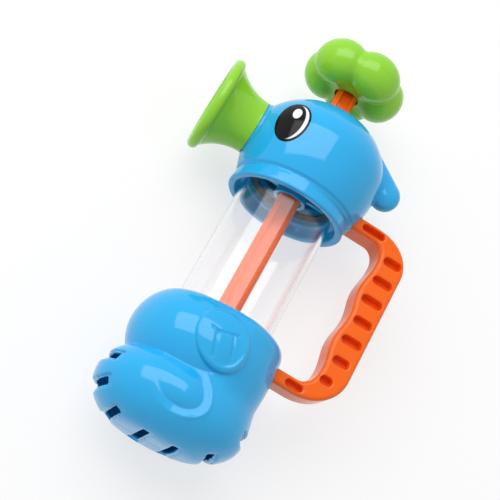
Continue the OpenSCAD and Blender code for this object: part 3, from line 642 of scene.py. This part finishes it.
def head_field(points):
    x, y, z = points.T
    solid = head_solid(x, y, z)
    body = soft_cut(solid, solid + casing_wall, edge_soft)
    from_axis = np.hypot(x, y)
    lean = rim_band["lean"] * (rim_band["z"] - z)
    from_collar = np.hypot(x, y - rim_band["y"])
    ring = round_box(from_collar - rim_band["ring"] - lean, z - rim_band["z"], rim_band["half"],
                     rim_band["half_h"], rim_band["corner"])
    groove = np.hypot(np.hypot(x, y - head["y"]) - rim_groove["r"], z - rim_groove["z"]) - rim_groove["tube"]
    body = soft_cut(body, groove, rim_groove["soft"])
    sleeve = np.maximum(from_axis - socket_out - sleeve_lap,
                        np.maximum(collar_top_z - sleeve_lap - z, z - ledge_top))
    body = soft_union(body, np.minimum(ring, sleeve), rim_band["soft"])
    horn_way = np.hypot(x, z - horn_z)
    boss = np.maximum(horn_way - neck_r, np.maximum(horn_seat_y - y, y - horn_seat_y - boss_deep))
    body = np.minimum(body, boss)
    body = screw_columns(body, solid, x, y, z, head_screw_places)
    skirt_r = np.where(z < collar_top_z, rim_band["ring"] - rim_band["half"] + lean, hole_r)
    body = soft_cut(body, np.maximum(from_axis - skirt_r, z - ledge_z), rim_band["soft"])
    body = soft_cut(body, np.maximum(from_axis - ledge_r, z - ledge_top - cut_past), seat_soft)
    body = soft_cut(body, np.maximum(horn_way - neck_r - neck_play, y - horn_seat_y), seat_soft)
    spigot_way = np.maximum(horn_way - spigot_hole_r, y - horn_seat_y - boss_deep - cut_past)
    body = soft_cut(body, spigot_way, seat_soft)
    body = soft_cut(body, np.maximum(from_axis - rod_hole_r, head["z"] - z), rod_hole_soft)
    arm = np.maximum(np.maximum(np.abs(x) - arm_half_x, np.abs(z - top_arm_z) - arm_half_z), socket_out - y)
    body = soft_cut(body, arm, edge_soft)
    return body + seam_deep * np.exp(-(x / seam_half) ** 2)


head_points, head_faces = skin_of(head_field, head_low, head_high, head_step)
for side, word in ((1, "right"), (-1, "left")):
    half = split_piece("head_half_" + word, head_points, head_faces, (0, 0, 0), (side, 0, 0), parting_gap)
    fit(half, "body", "blue_shell", blue_plastic, "head_shell_" + word)

# The eyes are thin plastic discs that follow the cheeks, one fixed on each side of the head.
# They are printed in gloss ink: a black oval with a white crescent and a highlight.
eye = dict(forward=23.7, lift=0.5, half_w=7.4, half_h=12.7, tilt=math.radians(-0.7), stand=0.28, sink=0.25,
           rim=0.97, rim_share=0.5, lean=0.6)
eye_rings, eye_spokes, eye_weld_m = 22, 96, 2e-6
print_black, print_white, print_edge = (0.003, 0.003, 0.0035, 1.0), (0.86, 0.87, 0.88, 1.0), 0.05
eye_ovals = [("white", 0.02, 0.0, 0.84, 0.88), ("black", -0.16, 0.0, 0.79, 0.93),
             ("white", 0.0, 0.39, 0.27, 0.27)]
ink_density, ink_speck_scale, ink_polish_low, ink_polish_high = 1.27, 500.0, 0.04, 0.12


def cheek_x(y, z):
    """How far out the cheek lies at a place on the head's side."""
    level = np.abs(z - head["z"])
    upper = head["r"] * (1 - (level / head["rise"]) ** head["power"]) ** (1 / head["power"])
    lower = head["r"] - head["cheek"] + np.sqrt(head["cheek"] ** 2 - level ** 2)
    rim = np.where(z > head["z"], upper, lower)
    return np.sqrt(rim ** 2 - (y - head["y"]) ** 2)


def eye_disc(name, side):
    points, marks, faces = [], [], []
    for lift in (eye["stand"], -eye["sink"]):
        for ring in range(eye_rings + 1):
            for spoke in range(eye_spokes):
                share, angle = ring / eye_rings, 2 * math.pi * spoke / eye_spokes
                u, v = share * math.cos(angle), share * math.sin(angle)
                a, b = u * eye["half_w"], v * eye["half_h"]
                y = head["y"] - eye["forward"] + a * math.cos(eye["tilt"]) + b * math.sin(eye["tilt"])
                z = head["z"] + eye["lift"] + b * math.cos(eye["tilt"]) - a * math.sin(eye["tilt"])
                rounded = lift if share < eye["rim"] else min(lift, eye["rim_share"] * eye["stand"])
                out = np.array([cheek_x(y, z), y - head["y"], eye["lean"] * (z - head["z"])])
                out = rounded * out / np.linalg.norm(out)
                points.append((side * (cheek_x(y, z) + out[0]), y + out[1], z + out[2]))
                marks.append((u, v, 0.0))
    layer_count = (eye_rings + 1) * eye_spokes
    for layer in (0, 1):
        for ring in range(eye_rings):
            for spoke in range(eye_spokes):
                first = layer * layer_count + ring * eye_spokes
                nxt = (spoke + 1) % eye_spokes
                face = [first + spoke, first + eye_spokes + spoke, first + eye_spokes + nxt, first + nxt]
                faces.append(face if (layer == 0) == (side > 0) else face[::-1])
    edge = eye_rings * eye_spokes
    for spoke in range(eye_spokes):
        nxt = (spoke + 1) % eye_spokes
        face = [edge + spoke, layer_count + edge + spoke, layer_count + edge + nxt, edge + nxt]
        faces.append(face if side > 0 else face[::-1])
    piece = mesh_piece(name, points, faces)
    places = piece.data.attributes.new("eye_place", "FLOAT_VECTOR", "POINT")
    places.data.foreach_set("vector", np.array(marks, np.float32).ravel())
    work = bmesh.new()
    work.from_mesh(piece.data)
    bmesh.ops.remove_doubles(work, verts=work.verts, dist=eye_weld_m)
    work.to_mesh(piece.data)
    work.free()
    return piece


def oval_mask_group():
    """One inside an oval of the print, nought outside, with a narrow soft edge."""
    group = bpy.data.node_groups.new("print_oval", "ShaderNodeTree")
    labels = ["U", "V", "Middle U", "Middle V", "Half U", "Half V"]
    for label in labels:
        group.interface.new_socket(label, in_out="INPUT", socket_type="NodeSocketFloat")
    group.interface.new_socket("Mask", in_out="OUTPUT", socket_type="NodeSocketFloat")
    nodes, links = group.nodes, group.links
    given, result = nodes.new("NodeGroupInput"), nodes.new("NodeGroupOutput")

    def sum_of(operation, first, second):
        step = nodes.new("ShaderNodeMath")
        step.operation = operation
        links.new(first, step.inputs[0])
        links.new(second, step.inputs[1])
        return step.outputs[0]

    squares = []
    for axis in ("U", "V"):
        offset = sum_of("SUBTRACT", given.outputs[axis], given.outputs["Middle " + axis])
        share = sum_of("DIVIDE", offset, given.outputs["Half " + axis])
        squares.append(sum_of("MULTIPLY", share, share))
    total = sum_of("ADD", *squares)
    edge = nodes.new("ShaderNodeMapRange")
    edge.inputs["From Min"].default_value = 1 + print_edge
    edge.inputs["From Max"].default_value = 1 - print_edge
    links.new(total, edge.inputs["Value"])
    links.new(edge.outputs["Result"], result.inputs["Mask"])
    return group


print_oval = oval_mask_group()


def eye_material():
    material = bpy.data.materials.new("eye_print")
    material.use_nodes = True
    nodes, links = material.node_tree.nodes, material.node_tree.links
    ink = nodes["Principled BSDF"]
    ink.inputs["IOR"].default_value = ink_density
    place = nodes.new("ShaderNodeAttribute")
    place.attribute_name = "eye_place"
    parts = nodes.new("ShaderNodeSeparateXYZ")
    links.new(place.outputs["Vector"], parts.inputs[0])
    layer = None
    for tone, *numbers in eye_ovals:
        mask = nodes.new("ShaderNodeGroup")
        mask.node_tree = print_oval
        links.new(parts.outputs["X"], mask.inputs["U"])
        links.new(parts.outputs["Y"], mask.inputs["V"])
        for label, number in zip(["Middle U", "Middle V", "Half U", "Half V"], numbers):
            mask.inputs[label].default_value = number
        over = nodes.new("ShaderNodeMix")
        over.data_type = "RGBA"
        over.inputs["A"].default_value = print_black
        if layer:
            links.new(layer, over.inputs["A"])
        over.inputs["B"].default_value = print_white if tone == "white" else print_black
        links.new(mask.outputs["Mask"], over.inputs["Factor"])
        layer = over.outputs["Result"]
    links.new(layer, ink.inputs["Base Color"])
    speck = nodes.new("ShaderNodeTexNoise")
    speck.inputs["Scale"].default_value = ink_speck_scale
    polish = nodes.new("ShaderNodeMapRange")
    polish.inputs["To Min"].default_value = ink_polish_low
    polish.inputs["To Max"].default_value = ink_polish_high
    links.new(speck.outputs["Fac"], polish.inputs["Value"])
    links.new(polish.outputs["Result"], ink.inputs["Roughness"])
    return material


eye_print = eye_material()
for side, word in ((1, "right"), (-1, "left")):
    fit(eye_disc("eye_disc_" + word, side), "body", "eye_print", eye_print, "eye_" + word)

# The spout horn is one green moulding turned about a level axis: bell, rolled lip, neck and spigot.
# The head's halves close round the spigot, behind which a flange keeps it in.
flare_r, horn_wall, horn_len, lip_ring, lip_r = 28.8, 2.0, 23.8, 24.1, 3.1
lip_start, lip_end = math.radians(-87), math.radians(228)
spigot_out, spigot_in, flange_r, flange_t = 13.0, 11.0, 15.0, 2.0
throat_corner, flange_play = 0.6, 0.05
flare_steps, lip_steps, horn_sides, horn_crease = 22, 26, 128, 45.0
flare_end, flare_in_end = 20.7, 21.4
lime_green, lime_green_shade, green_polish = (0.27, 0.63, 0.03), (0.25, 0.60, 0.025), 0.11


def flare(radius, h):
    return neck_r + flare_r - math.sqrt(radius ** 2 - h ** 2)


def horn_outline():
    outer = [(flare(flare_r, h), h) for h in (flare_end * k / flare_steps for k in range(flare_steps + 1))]
    turns = [lip_start + (lip_end - lip_start) * k / lip_steps for k in range(lip_steps + 1)]
    lip = [(lip_ring + lip_r * math.cos(turn), horn_len + lip_r * math.sin(turn)) for turn in turns]
    inner = [(flare(flare_r + horn_wall, h), h)
             for h in (flare_in_end * k / flare_steps for k in range(flare_steps, 1, -1))]
    inside = [(spigot_in + throat_corner, horn_wall), (spigot_in, horn_wall - throat_corner),
              (spigot_in, -boss_deep - flange_t)]
    back = [(flange_r, -boss_deep - flange_t), (flange_r, -boss_deep - flange_play),
            (spigot_out, -boss_deep - flange_play), (spigot_out, 0.0)]
    return outer + lip + inner + inside + back


green_plastic = moulded_material("lime_green_plastic", lime_green, lime_green_shade, green_polish)
horn = lathe("horn_bell", horn_outline(), horn_sides, lambda a, b, h: (a, horn_seat_y - h, horn_z + b),
             horn_crease)
fit(horn, "body", "green_plastic", green_plastic, "spout_horn")

# The handle is one orange moulding, bent round the fingers, with waves inside and cored slots in its sides.
# Its end plates sit behind the walls of the head and the base.
grip_y, grip_half, arm_half = 64.4, 8.6, 4.0
finger_wave, finger_waves = 1.1, 2
bend_top, bend_low = dict(y=49.4, z=142.0, r=15.0), dict(y=47.4, z=78.3, r=17.0)
handle_half, handle_edge = 9.0, 2.4
end_plate = dict(low=29.7, high=31.9, half_x=11.2, half_z=4.4)
core_deep, core_h, arm_core_h, core_soft = 6.0, 5.0, 4.0, 0.7
cores = [(64.7, 146.9, 10.6), (64.6, 134.6, 11.5), (64.2, 122.3, 12.4), (64.9, 109.6, 11.0),
         (64.4, 97.2, 12.0), (64.1, 84.9, 9.6), (61.6, 72.2, 7.2)]
arm_cores = [(47.6, 157.0, 13.8), (47.8, 61.3, 10.3)]
handle_low, handle_high, handle_step = (-11.3, 29.6, 57.0), (11.3, 73.1, 161.5), 0.65
least_reach = 1e-6


def stadium(a, b, length, width):
    return np.hypot(np.maximum(np.abs(a) - (length - width) / 2, 0), b) - width / 2


def handle_field(points):
    x, y, z = points.T
    in_top = (y >= bend_top["y"]) & (z >= bend_top["z"])
    in_low = (y >= bend_low["y"]) & (z <= bend_low["z"])
    on_top_arm = (y < bend_top["y"]) & (z > (bend_top["z"] + bend_low["z"]) / 2)
    on_low_arm = (y < bend_low["y"]) & (z <= (bend_top["z"] + bend_low["z"]) / 2)
    reach_top = np.hypot(y - bend_top["y"], z - bend_top["z"])
    reach_low = np.hypot(y - bend_low["y"], z - bend_low["z"])
    off = y - grip_y
    off = np.where(in_top, reach_top - bend_top["r"], off)
    off = np.where(in_low, reach_low - bend_low["r"], off)
    off = np.where(on_top_arm, z - bend_top["z"] - bend_top["r"], off)
    off = np.where(on_low_arm, bend_low["z"] - bend_low["r"] - z, off)
    turn = np.ones_like(y)
    turn = np.where(in_top, ((y - bend_top["y"]) / np.maximum(reach_top, least_reach)) ** 2, turn)
    turn = np.where(in_low, ((y - bend_low["y"]) / np.maximum(reach_low, least_reach)) ** 2, turn)
    turn = np.where(on_top_arm | on_low_arm, 0.0, turn)
    down = np.clip((bend_top["z"] - z) / (bend_top["z"] - bend_low["z"]), 0, 1)
    outer = arm_half + (grip_half - arm_half) * turn
    inner = outer - finger_wave * np.cos(2 * math.pi * finger_waves * down) * turn
    across_path = np.maximum(off - outer, -off - inner) + handle_edge
    across_side = np.abs(x) - (handle_half - handle_edge)
    body = (np.minimum(np.maximum(across_path, across_side), 0) - handle_edge
            + np.hypot(np.maximum(across_path, 0), np.maximum(across_side, 0)))
    body = np.maximum(body, end_plate["low"] - y)
    for cy, cz, length, height in [(*c, core_h) for c in cores] + [(*c, arm_core_h) for c in arm_cores]:
        core = np.maximum(stadium(y - cy, z - cz, length, height), handle_half - core_deep - np.abs(x))
        body = soft_cut(body, core, core_soft)
    for cz in (top_arm_z, low_arm_z):
        plate = np.maximum(np.abs(x) - end_plate["half_x"], np.abs(z - cz) - end_plate["half_z"])
        plate = np.maximum(plate, np.maximum(end_plate["low"] - y, y - end_plate["high"]))
        body = np.minimum(body, plate)
    return body


grip = mesh_piece("handle_loop", *skin_of(handle_field, handle_low, handle_high, handle_step))
fit(grip, "body", "orange_plastic", orange_plastic, "handle")

# The knob is a green moulding of five round lobes, made as a lower and an upper half.
# It is pushed onto the top of the rod and screwed there.
knob_z, knob_semi, knob_core_r, core_lower = 232.3, 13.17, 20.0, 1.2
lobes, lobe_out, lobe_side, lobe_ring, lobe_blend = 5, 12.7, 15.6, 17.3, 2.2
knob_turn = math.radians(21.5)
knob_socket_r, knob_socket_soft = 7.05, 0.5
knob_seam_deep, knob_seam_half = 0.06, 0.45
knob_gap = 0.03
knob_low, knob_high, knob_step = (-33, -33, 219.0), (33, 33, 246.0), 0.75
least_curve = 1e-6


def oval_ball(a, b, c, radii):
    share = np.sqrt((a / radii[0]) ** 2 + (b / radii[1]) ** 2 + (c / radii[2]) ** 2)
    slope = np.sqrt((a / radii[0] ** 2) ** 2 + (b / radii[1] ** 2) ** 2 + (c / radii[2] ** 2) ** 2)
    return share * (share - 1) / np.maximum(slope, least_curve)


def knob_field(points):
    x, y, z = points.T
    body = oval_ball(x, y, z - knob_z, (knob_core_r, knob_core_r, knob_semi - core_lower))
    for k in range(lobes):
        turn = knob_turn + 2 * math.pi * k / lobes
        out = x * math.cos(turn) + y * math.sin(turn) - lobe_ring
        over = y * math.cos(turn) - x * math.sin(turn)
        lobe = oval_ball(out, over, z - knob_z, (lobe_out, lobe_side, knob_semi))
        body = soft_union(body, lobe, lobe_blend)
    rod_socket = np.maximum(np.hypot(x, y) - knob_socket_r, z - rod_high)
    body = soft_cut(body, rod_socket, knob_socket_soft)
    return body + knob_seam_deep * np.exp(-((z - knob_z) / knob_seam_half) ** 2)


knob_points, knob_faces = skin_of(knob_field, knob_low, knob_high, knob_step)
for side, word in ((1, "upper"), (-1, "lower")):
    half = split_piece("knob_half_" + word, knob_points, knob_faces, (0, 0, knob_z), (0, 0, side), knob_gap)
    fit(half, "plunger", "green_plastic", green_plastic, "knob_" + word)
